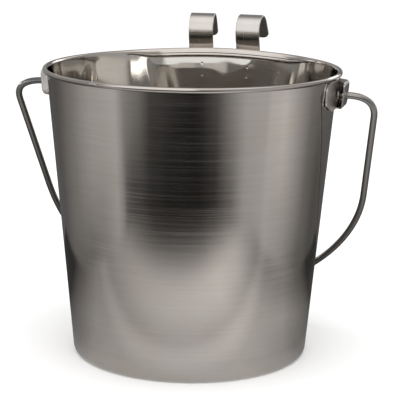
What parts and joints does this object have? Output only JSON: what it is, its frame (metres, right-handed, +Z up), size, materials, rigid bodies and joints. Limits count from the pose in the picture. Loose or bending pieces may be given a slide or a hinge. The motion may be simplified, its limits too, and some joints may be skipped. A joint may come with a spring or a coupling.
{
  "type": "hook pail",
  "caption": "Tapered stainless steel pail with rolled rim, flattened back, strap hooks for hanging on a rail and a swinging wire bail in pressed ears.",
  "frame": {"origin": "middle of the underside of the base, where the pail stands", "axes": "+Z up the pail, +Y towards the flattened side that carries the hooks, +X towards the right bail ear"},
  "size_m": [0.31, 0.2673, 0.2716],
  "materials": {
    "shell_steel": "satin, brushed around the body",
    "ear_steel": "pressed sheet, semi-bright",
    "strap_steel": "satin, brushed along the strap",
    "wire_steel": "drawn wire, semi-bright"
  },
  "bodies": {
    "pail": {"pail_shell": "shell_steel", "bail_ear_right": "ear_steel", "bail_ear_left": "ear_steel", "hook_left": "strap_steel", "hook_right": "strap_steel"},
    "bail": {"bail": "wire_steel"}
  },
  "joints": [
    {"name": "bail_swing", "type": "hinge", "parent": "pail", "child": "bail", "pos_m": [0, 0, 0.222], "axis": [1, 0, 0], "range_deg": [0, 300]}
  ]
}
